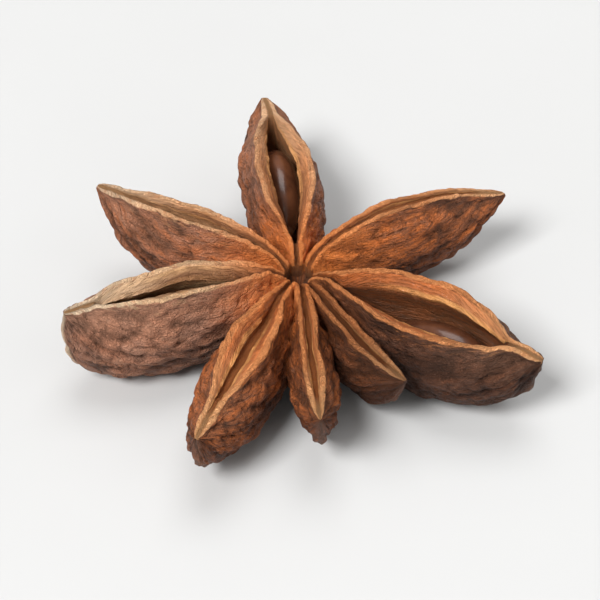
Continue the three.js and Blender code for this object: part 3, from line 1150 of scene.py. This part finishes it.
class CarpelSkin:
    """One carpel lofted through its sections, with its wrinkles."""

    def __init__(self, c: Carpel, number: int, form: CarpelForm, wrinkles: Wrinkles) -> None:
        """Works out what changes along the carpel.

        Args:
            c: its sizes.
            number: its place in the list, which sets its wrinkles apart.
            form: the sizes that all carpels share.
            wrinkles: the wrinkles' sizes.
        """
        self.c, self.form, self.wrinkles = c, form, wrinkles
        self.seed = wrinkles.seeds_apart * number
        self.phase = wrinkles.first_phase + wrinkles.phases_apart * number
        self.steps = OPEN_CARPEL if c.seed else SHUT_CARPEL if c.width > THIN_BELOW else THIN_CARPEL
        s = np.linspace(0, 1, self.steps.rings)
        t = mix(s, 0.5 - 0.5 * np.cos(np.pi * s), form.ring_crowding)
        self.low = form.keel_line(c, t)
        self.rib = form.lip_line(c, t) - self.low
        self.length = np.linalg.norm(self.rib, axis=1)[:, None]
        self.t = t = t[:, None]
        self.belly = c.width / 2 * form.width_share(t)
        self.open = form.gape_share(t)
        seam = np.minimum(form.seam_width / 2, form.seam_width_most * self.belly)
        self.gap = seam + c.gape / 2 * self.open
        self.share = form.cavity_share(c, t)
        least = np.minimum(form.seam_depth, form.seam_depth_most * self.length)
        depth = np.maximum(least, (self.length - form.cavity_floor) * self.share)
        lean = np.radians(mix(form.lean_shut, c.lean, self.open))
        drop = np.minimum(form.face_width * np.cos(lean), form.face_depth_share * depth)
        merged = 1 - form.beak_fill * smooth(*form.beak_merges, t)
        self.run = drop * np.tan(lean)
        self.depth, self.drop = depth * merged, drop * merged

    def stations(self) -> Stations:
        """Spreads the points of one side of a section, from beside the keel over the edge down the cavity.

        Returns:
            Where they lie.
        """
        form, steps = self.form, self.steps
        edge, skin = form.edge_skin, form.edge_skin + form.face_width
        h = ((np.arange(steps.wall) + 1) / (steps.wall + 0.5)) ** form.wall_crowding
        turn = np.linspace(0, 1, steps.edge + 1)
        face = (np.arange(steps.face) + 1) / steps.face
        down = (np.arange(steps.cavity) + 1) / (steps.cavity + 0.6)
        counts = [len(h), len(turn), len(face), len(down)]
        marked, (start, end) = form.mark_at_lip, form.mark_on_face
        over = marked + (1 - marked) * np.sin(form.mark_turn * turn)
        beyond = [0 * h, edge * turn, mix(edge, skin, face), skin + form.cavity_skin * down]
        return Stations(
            zone=np.repeat([Zone.WALL.value, Zone.EDGE.value, Zone.FACE.value, Zone.CAVITY.value], counts),
            height=np.concatenate([h, 1 + 0 * turn, 1 + 0 * face, 1 - down]),
            into=np.concatenate([0 * h, 0 * turn, FACE_END * face, mix(FACE_END, 1, down)]),
            edge=np.concatenate([marked * smooth(0.5, 1, h), over, mix(start, end, face), mix(end, 0, down)]),
            beyond=np.concatenate(beyond),
        )

    def side(self, sign: int) -> tuple[Array, Array]:
        """One side of every section, from the keel over the edge and down the cavity.

        Args:
            sign: 1 for the left side seen from the axis, -1 for the right.

        Returns:
            How far sideways and how far up the section each point lies.
        """
        form, wrinkles, t = self.form, self.wrinkles, self.t
        along = t * self.c.reach
        lip = form.lip_radius * mix(form.lip_at_column, 1, smooth(0, form.lip_full_from, t))
        lip = lip * (1 + wrinkles.lip_swell.waves(along, sign, self.phase))
        lip = lip * (1 + form.lip_uneven * uneven(1.7 * t, sign, self.phase))
        lip = np.minimum(lip, form.lip_most * self.belly)
        cap = self.length - lip
        outer = self.gap + self.run + 2 * lip
        widest = np.maximum(self.belly, form.belly_least * outer)
        inner = np.maximum(self.gap, (widest - form.wall) * self.share)
        zone, height, *_ = self.stations()

        h = height[None, zone == Zone.WALL.value]
        bumpy = 1 + form.wall_uneven * uneven(t, h, self.phase + sign)
        neck = np.exp(-(((h - form.neck_at) / form.neck_spread) ** 2))
        neck = form.neck_depth * clamp01(self.belly) * neck
        wall = (form.wall_at(h, widest, outer) * bumpy - neck, h * cap)
        angle = np.linspace(0, form.lip_turn, self.steps.edge + 1)[None]
        edge = (outer - lip * (1 - np.cos(angle)), cap + lip * np.sin(angle))
        s = ((np.arange(self.steps.face) + 1) / self.steps.face)[None]
        face = (mix(edge[0][:, -1:], self.gap, s), mix(edge[1][:, -1:], self.length - self.drop, s))
        down = 1 - height[None, zone == Zone.CAVITY.value]
        hip = form.cavity_hip
        swell = mix(self.gap + wrinkles.ledge * self.share, inner, smooth(0, hip, down))
        close = np.sqrt(1 - clamp01((down - hip) / (1 - hip)) ** 2)
        cavity = (swell * close, self.length - self.drop - (self.depth - self.drop) * down)

        out, up = (np.concatenate(part, axis=1) for part in zip(wall, edge, face, cavity))
        near = smooth(wrinkles.lip_reach, 1, height)
        near = np.where(zone == Zone.CAVITY.value, smooth(wrinkles.lip_reach_inside, 1, height), near)[None]
        wave, nick, chip = (
            pattern.waves(along, sign, self.phase)
            for pattern in (wrinkles.lip_wave, wrinkles.lip_nick, wrinkles.lip_chip)
        )
        lift = wrinkles.lip_lift * wave + nick + chip
        return sign * (out + wave * near * self.open), up + lift * near * clamp01(self.belly)

    def grid(self) -> Grid:
        """Lofts the carpel.

        Returns:
            Its points in its own plane, X outwards.
        """
        form, wrinkles, c, t = self.form, self.wrinkles, self.c, self.t
        (right_out, right_up), (left_out, left_up) = self.side(1), self.side(-1)
        none = np.zeros_like(t)

        def ring(keel: Array, right: Array, floor: Array, left: Array) -> Array:
            """Returns one quantity right round every section."""
            return np.concatenate([keel, right, floor, left[..., ::-1]], axis=-1)

        sideways = ring(none, right_out, none, left_out)
        up = ring(none, right_up, self.length - self.depth, left_up)
        zone, height, into, edge, beyond = (
            ring(np.array([keel]), side, np.array([floor]), side)[None] + 0 * sideways
            for keel, side, floor in zip(KEEL_POINT, self.stations(), FLOOR_POINT)
        )
        outside = zone == Zone.WALL.value
        shallow = FACE_END + (into - FACE_END) * np.maximum(self.share, form.shallowest)
        into = np.where(into > FACE_END, shallow, into)

        across = up / self.length
        z = self.rib[:, 1:] * (across - 0.5) + form.lip_lift * across * uneven(t, 0.0, self.phase)
        y = sideways + c.bend * t * t
        roll = np.radians(c.roll) * t
        points = vectors(
            self.low[:, :1] + self.rib[:, :1] * across,
            y * np.cos(roll) - z * np.sin(roll),
            self.low[:, 1:] + self.rib[:, 1:] / 2 + y * np.sin(roll) + z * np.cos(roll),
        )

        flat = 0 * sideways
        along = t * c.reach + flat
        skin_height = wrinkles.skin_height * np.where(outside, height, 1.0)
        climbed = mix(np.where(outside, up, self.length), skin_height, wrinkles.skin_evened)
        around = np.sign(sideways) * (climbed + beyond)
        relief = wrinkles.relief(along, around, self.seed)
        fine = wrinkles.pucker(along, around, self.seed)
        keel = np.exp(-((sideways / wrinkles.keel_width) ** 2)) * smooth(*wrinkles.keel_reach, t)
        edge = np.where(outside, np.maximum(edge, form.mark_least) - keel, edge)
        raised = wrinkles.depth * (relief - wrinkles.level)
        raised = raised + wrinkles.fine_depth * (fine - wrinkles.fine_level)
        calm = 1 - wrinkles.calm_at_lip * smooth(*wrinkles.calm_height, height)
        rippled = wrinkles.inner_ripple * (fine - wrinkles.fine_level)
        push = np.where(outside, raised * calm + wrinkles.keel_ridge * keel, rippled)
        push = push * clamp01(self.belly / wrinkles.full_half_width)
        made = Grid(
            points=points,
            grain=vectors(along + wrinkles.grain_apart * self.seed, around, wrinkles.layer_apart * self.seed),
            marks=vectors(edge, into, relief),
            tones=vectors(c.bleach + flat, c.ruddy, c.dark),
            spots=vectors(t, clamp01(across), fine),
        )
        made.points = made.points + made.normals() * push[..., None]
        return made


@dataclass
class Husk:
    """The fruit without its seeds: every carpel, the column and the stalk, in one closed mesh."""

    form: CarpelForm = field(default_factory=CarpelForm)
    wrinkles: Wrinkles = field(default_factory=Wrinkles)
    column_radius: float = 2.0
    column_foot: float = 1.9
    column_shoulder: float = 5.0
    column_pit: float = 3.8
    column_nub: float = 0.4
    pit_share: float = 0.7
    pit_shade_mark: float = 0.9
    stalk_radius: float = 1.05
    stalk_top: float = 3.2
    stalk_end: float = 0.6
    stalk_drift: float = 0.5
    stalk_ruddy: float = 0.4
    stalk_along: float = 0.5
    fibres_round: float = 1.2
    axis_hole: float = 0.02
    points_round: int = 48
    swollen: float = 0.07
    rough: Pattern = Pattern(1.0, 1.4, 1.4, layer=300.5)
    rough_height: float = 0.12
    pitted: Pattern = Pattern(0.2, 3.2, 3.2, layer=320.5)
    crease_angle: float = 62.0

    def carpel(self, c: Carpel, number: int) -> Grid:
        """Lofts one carpel and turns it to its place round the axis."""
        grid = CarpelSkin(c, number, self.form, self.wrinkles).grid()
        grid.points = grid.points @ np.array(Matrix.Rotation(math.radians(c.azimuth), 3, "Z")).T
        return grid

    def turned(self, outline: Outline, hollow: float = 0.0, tilt: float = 0.0) -> Grid:
        """Turns an outline round the axis and roughens it.

        Args:
            outline: (radius, height) from the top to the foot, both ends beside the axis.
            hollow: the radius within which the top is the floor of the pit.
            tilt: how far the foot drifts sideways.

        Returns:
            The turned points.
        """
        radius, height = (np.array(values) for values in zip(*outline))
        around = np.linspace(0, 2 * np.pi, self.points_round, endpoint=False)[None]
        drift = (tilt * ((height[0] - height) / (height[0] - height[-1])) ** 2)[:, None]
        x = radius[:, None] * np.cos(around) + drift
        y = radius[:, None] * np.sin(around) - drift / 2
        z = height[:, None]
        rough = self.rough.waves(x, y, z * 0.6)
        raised = self.rough_height * rough + self.pitted.waves(x, y, z)
        wide = 1 + self.swollen * rough
        flat = np.zeros_like(x)
        # Painted shade in the pit: its floor is marked deep in the split and the column has no ruddiness, so
        # the pit takes the lining's darkest colour.
        pit = (radius < hollow) & (height > self.column_foot + 1)
        floor = np.where(pit, self.pit_shade_mark, 0.0)[:, None]
        ruddy, along = (0.0, 0.0) if hollow else (self.stalk_ruddy, self.stalk_along)
        return Grid(
            points=vectors(x * wide, y * wide, z + raised)[::-1],
            grain=vectors(z, around * self.fibres_round, flat)[::-1],
            marks=vectors(0.2, floor, 0.5 + 0.5 * rough)[::-1],
            tones=vectors(flat, ruddy, 0.0)[::-1],
            spots=vectors(along, 0.5, flat)[::-1],
        )

    def column(self) -> Grid:
        """Shapes the short column, with the pit and the nub at the heart of the star.

        Returns:
            Its points.
        """
        rim, foot, nub, axis = self.column_radius, self.column_foot, self.column_nub, self.axis_hole
        corners = [
            (axis, self.column_pit + nub),
            (0.28, self.column_pit + nub * 0.8),
            (0.5, self.column_pit),
            (rim * 0.6, self.column_shoulder),
            (rim, self.column_shoulder - 0.6),
            (rim, foot + 0.6),
            (rim - 0.6, foot),
            (axis, foot),
        ]
        return self.turned(self.finer(corners, 5), hollow=rim * self.pit_share)

    def stalk(self) -> Grid:
        """Shapes the stub of the stalk, splintered where it broke.

        Returns:
            Its points.
        """
        radius, end, axis = self.stalk_radius, self.stalk_end, self.axis_hole
        corners = [
            (axis, self.stalk_top),
            (radius, self.stalk_top),
            (radius * 0.95, end),
            (radius * 0.5, end + 0.12),
            (axis, end + 0.2),
        ]
        return self.turned(self.finer(corners, 6), tilt=self.stalk_drift)

    @staticmethod
    def finer(corners: Outline, steps: int) -> Outline:
        """Adds points between the corners of an outline.

        Args:
            corners: the outline.
            steps: how many stretches each side is divided into.

        Returns:
            The finer outline.
        """
        made = []
        for (r0, z0), (r1, z1) in zip(corners, corners[1:]):
            made.extend((r0 + (r1 - r0) * i / steps, z0 + (z1 - z0) * i / steps) for i in range(steps))
        return [*made, corners[-1]]

    def joined(self, grids: list[Grid]) -> bpy.types.Mesh:
        """Fuses the closed grids into one mesh.

        Args:
            grids: the column, the stalk and the carpels, which overlap at the axis.

        Returns:
            One closed mesh in metres, with the finish's vectors on its points.
        """
        solids = [add_object(f"solid_{i}", grid.mesh(f"solid_{i}")) for i, grid in enumerate(grids)]
        others = bpy.data.collections.new("to_fuse")
        for solid in solids[1:]:
            others.objects.link(solid)
        fuse = solids[0].modifiers.new("fuse", "BOOLEAN")
        fuse.operation = "UNION"
        fuse.solver = "MANIFOLD"
        fuse.operand_type = "COLLECTION"
        fuse.collection = others
        depsgraph = bpy.context.evaluated_depsgraph_get()
        mesh = bpy.data.meshes.new_from_object(solids[0].evaluated_get(depsgraph))
        mesh.name = "husk"
        for solid in solids:
            bpy.data.objects.remove(solid)
        bpy.data.collections.remove(others)
        self.drop_crumbs(mesh)
        self.carry_vectors(grids, mesh)
        return mesh

    @staticmethod
    def drop_crumbs(mesh: bpy.types.Mesh) -> None:
        """Deletes the specks that the fusing leaves where two walls graze each other.

        Args:
            mesh: the fused mesh, of which only the largest piece stays.
        """
        work = bmesh.new()
        work.from_mesh(mesh)
        pieces, unseen = [], set(work.verts)
        while unseen:
            piece, front = set(), [unseen.pop()]
            while front:
                point = front.pop()
                piece.add(point)
                reached = [edge.other_vert(point) for edge in point.link_edges]
                front.extend(other for other in reached if other in unseen)
                unseen.difference_update(reached)
            pieces.append(piece)
        pieces.sort(key=len)
        crumbs = [point for piece in pieces[:-1] for point in piece]
        bmesh.ops.delete(work, geom=crumbs, context="VERTS")
        work.to_mesh(mesh)
        work.free()
        log.info("husk: %d crumbs dropped", len(pieces) - 1)

    @staticmethod
    def carry_vectors(grids: list[Grid], mesh: bpy.types.Mesh) -> None:
        """Gives each point of the fused mesh the vectors of the grid point nearest to it.

        Args:
            grids: the grids that were fused.
            mesh: the fused mesh.
        """
        source = np.concatenate([grid.points.reshape(-1, 3) for grid in grids]) * MM
        tree = kdtree.KDTree(len(source))
        for i, point in enumerate(source):
            tree.insert(point, i)
        tree.balance()
        nearest = np.array([tree.find(point)[1] for point in points_of(mesh)])
        for name in VECTORS:
            values = np.concatenate([getattr(grid, name).reshape(-1, 3) for grid in grids])
            add_vectors(mesh, name, values[nearest])

    def build(self, finish: bpy.types.Material) -> bpy.types.Object:
        """Builds the husk where its solid stands.

        Args:
            finish: the husk's material.

        Returns:
            The husk, riding on the body and standing for its solid.
        """
        grids = [self.column(), self.stalk()]
        grids.extend(self.carpel(c, number) for number, c in enumerate(CARPELS))
        shift = self.shift(np.concatenate([grid.points.reshape(-1, 3) for grid in grids]))
        for grid in grids:
            grid.points = grid.points + shift
            grid.points[..., 2] = np.maximum(grid.points[..., 2], 0.0)
        mesh = self.joined(grids)
        mesh.materials.clear()
        mesh.materials.append(finish)
        mesh.shade_smooth()
        mesh.set_sharp_from_angle(angle=math.radians(self.crease_angle))
        husk = add_object("husk", mesh)
        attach(husk, BODY)
        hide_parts("pod")
        log.info("husk: %d faces", len(mesh.polygons))
        return husk

    @staticmethod
    def shift(points: Array) -> Array:
        """How far the fruit moves so that it stands in its solid's box.

        Args:
            points: all the points, with the axis at the origin.

        Returns:
            The move in X and Y, in millimetres, and none in Z.
        """
        low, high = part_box("pod")
        middle = (points.min(axis=0) + points.max(axis=0)) / 2
        return np.array([(low.x + high.x) / 2 / MM - middle[0], (low.y + high.y) / 2 / MM - middle[1], 0.0])


@dataclass
class Seed:
    """One seed, shaped to the room that its solid has."""

    carpel: Carpel
    form: CarpelForm
    length_share: float = 0.44
    height: float = 4.2
    clearance: float = 0.47
    at: float = 0.54
    tilt: float = 0.6
    around: int = 72
    along: int = 48
    blunt: float = 0.14
    narrow: float = 0.06
    seam_width: float = 0.14
    seam_rise: float = 0.03
    scar_dent: float = 0.05

    def grid(self) -> Grid:
        """Shapes the seed, blunt at one end, with a seam below and a scar at the other end.

        Returns:
            Its points round its own middle, X lengthwise, with the scar and the seam as marks.
        """
        c = self.carpel
        width = c.width - 2 * self.form.wall - 2 * self.clearance
        lean = np.linspace(0, np.pi, self.along + 1)[1:-1, None]
        spin = np.linspace(0, 2 * np.pi, self.around, endpoint=False)[None]
        x = np.cos(lean)
        y = np.sin(lean) * np.cos(spin)
        z = np.sin(lean) * np.sin(spin)
        seam = np.exp(-((y / self.seam_width) ** 2)) * smooth(0.0, 0.5, -z)
        scar = smooth(0.9, 0.97, -x)
        thick = 1 + self.blunt * x - self.narrow * x * x
        thick = thick * (1 + self.seam_rise * seam - self.scar_dent * scar)
        sizes = np.array([self.length_share * c.reach, width, self.height])
        points = vectors(x, y * thick, z * thick) * sizes / 2
        none = points * 0
        return Grid(points[::-1], none, vectors(scar, seam, 0.0)[::-1], none, none)

    def build(self, finish: bpy.types.Material) -> bpy.types.Object:
        """Builds the seed in its solid's place.

        Args:
            finish: the seed coat's material.

        Returns:
            The seed, riding on the body and standing for its solid.
        """
        c = self.carpel
        grid = self.grid()
        mesh = grid.mesh(f"seed_coat_{c.name}")
        hubs = np.array([[1.0, 0.0, 0.0], [0.0, 0.0, 0.0]])
        add_vectors(mesh, "marks", np.concatenate([grid.marks.reshape(-1, 3), hubs]))
        mesh.transform(self.place())
        mesh.materials.append(finish)
        mesh.shade_smooth()
        seed = add_object(f"seed_coat_{c.name}", mesh)
        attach(seed, BODY)
        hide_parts(f"seed_{c.name}")
        log.info("%s: %d faces", seed.name, len(mesh.polygons))
        return seed

    def place(self) -> Matrix:
        """Lays the seed along the carpel's keel.

        Returns:
            Its turn and place, in the middle of its solid's box.
        """
        c = self.carpel
        before, after = self.form.keel_line(c, np.array([self.at - 0.001, self.at + 0.001]))
        slope = math.atan2(after[1] - before[1], after[0] - before[0])
        azimuth = math.radians(c.azimuth) + math.atan2(2 * c.bend * self.at, c.reach)
        low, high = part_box(f"seed_{c.name}")
        return (
            Matrix.Translation((low + high) / 2)
            @ Matrix.Rotation(azimuth, 4, "Z")
            @ Matrix.Rotation(-self.tilt * slope, 4, "Y")
            @ Matrix.Rotation(math.radians(c.roll) * self.at, 4, "X")
        )


@dataclass(frozen=True)
class Softbox:
    """A square soft light that points at the fruit.

    Attributes:
        name: its name.
        azimuth: its direction in degrees, 0 towards the camera and 90 to the right.
        elevation: its height above the floor in degrees.
        spread: its side as a share of its distance.
        strength: its power in watts for each square metre of its distance squared.
    """

    name: str
    azimuth: float
    elevation: float
    spread: float
    strength: float


@dataclass
class Studio:
    """A pale floor, soft light and the camera, in metres and degrees."""

    elevation: float = 46.0
    lens: float = 150.0
    clip_start: float = 0.005
    frame_width: float = 40.0 * MM
    target: tuple[float, float, float] = (0.0, 0.0, 2.6 * MM)
    floor_side: float = 60.0
    floor_gap: float = 0.01 * MM
    light_distance: float = 12.0
    sky: float = 0.3
    horizon: float = 0.95
    horizon_fades: Span = (0.07, 0.15)
    sky_colour: Colour = (1.0, 0.995, 0.985)
    softboxes: tuple[Softbox, ...] = (
        Softbox("key", azimuth=-40, elevation=52, spread=0.35, strength=10.8),
        Softbox("fill", azimuth=60, elevation=35, spread=0.8, strength=1.3),
        Softbox("top", azimuth=170, elevation=72, spread=0.6, strength=3.8),
    )

    def aim(self, placed: bpy.types.Object, azimuth: float, elevation: float, distance: float) -> None:
        """Places a light or the camera round the fruit and points it there.

        Args:
            placed: the light's or the camera's object.
            azimuth: its direction in degrees, 0 at the front and 90 to the right.
            elevation: its height above the floor in degrees.
            distance: how far it is from the fruit.
        """
        a, e = math.radians(azimuth), math.radians(elevation)
        away = Vector((math.sin(a) * math.cos(e), -math.cos(a) * math.cos(e), math.sin(e)))
        placed.location = Vector(self.target) + away * distance
        placed.rotation_euler = (-away).to_track_quat("-Z", "Y").to_euler()

    def camera(self) -> None:
        """Sets up the camera, which looks down at the fruit from the front."""
        data = bpy.data.cameras.new("camera")
        data.lens = self.lens
        data.clip_start = self.clip_start
        camera = add_object("camera", data)
        self.aim(camera, 0.0, self.elevation, self.frame_width * self.lens / data.sensor_width)
        bpy.context.scene.camera = camera

    def floor(self, finish: bpy.types.Material) -> None:
        """Lays the floor, which isn't part of the fruit.

        Args:
            finish: its material.
        """
        half = self.floor_side / 2
        mesh = bpy.data.meshes.new("floor")
        corners = [(-half, -half, 0), (half, -half, 0), (half, half, 0), (-half, half, 0)]
        mesh.from_pydata(corners, [], [(0, 1, 2, 3)])
        mesh.materials.append(finish)
        floor = add_object("floor", mesh)
        floor.location.z = -self.floor_gap

    def lights(self) -> None:
        """Hangs the lights."""
        for box in self.softboxes:
            light = bpy.data.lights.new(box.name, "AREA")
            light.size = box.spread * self.light_distance
            light.energy = box.strength * self.light_distance**2
            self.aim(add_object(box.name, light), box.azimuth, box.elevation, self.light_distance)

    def surroundings(self) -> None:
        """Sets the surroundings, palest at the horizon, and the plain view of the picture."""
        world = bpy.data.worlds.new("surroundings")
        world.use_nodes = True
        shader = Shader(world.node_tree)
        direction = shader.node("ShaderNodeTexCoord").outputs["Generated"]
        up = shader.node("ShaderNodeSeparateXYZ", inputs={"Vector": direction}).outputs["Z"]
        light = shader.between(shader.ease(up, *self.horizon_fades), (self.horizon, self.sky))
        background = world.node_tree.nodes["Background"]
        background.inputs["Color"].default_value = (*self.sky_colour, 1.0)
        shader.feed(background.inputs["Strength"], light)
        bpy.context.scene.world = world
        bpy.context.scene.view_settings.view_transform = "Standard"


def main() -> None:
    """Builds the camera and the light, then the husk and its seeds."""
    logging.basicConfig(level=logging.INFO, format="%(message)s")
    effects = SharedEffects()
    studio = Studio()
    studio.camera()
    studio.floor(FloorFinish().build(effects))
    studio.lights()
    studio.surroundings()
    husk = Husk()
    husk.build(HuskFinish().build(effects))
    seed_coat = SeedCoatFinish().build(effects)
    for c in CARPELS:
        if c.seed:
            Seed(c, husk.form).build(seed_coat)


if __name__ == "__main__":
    main()
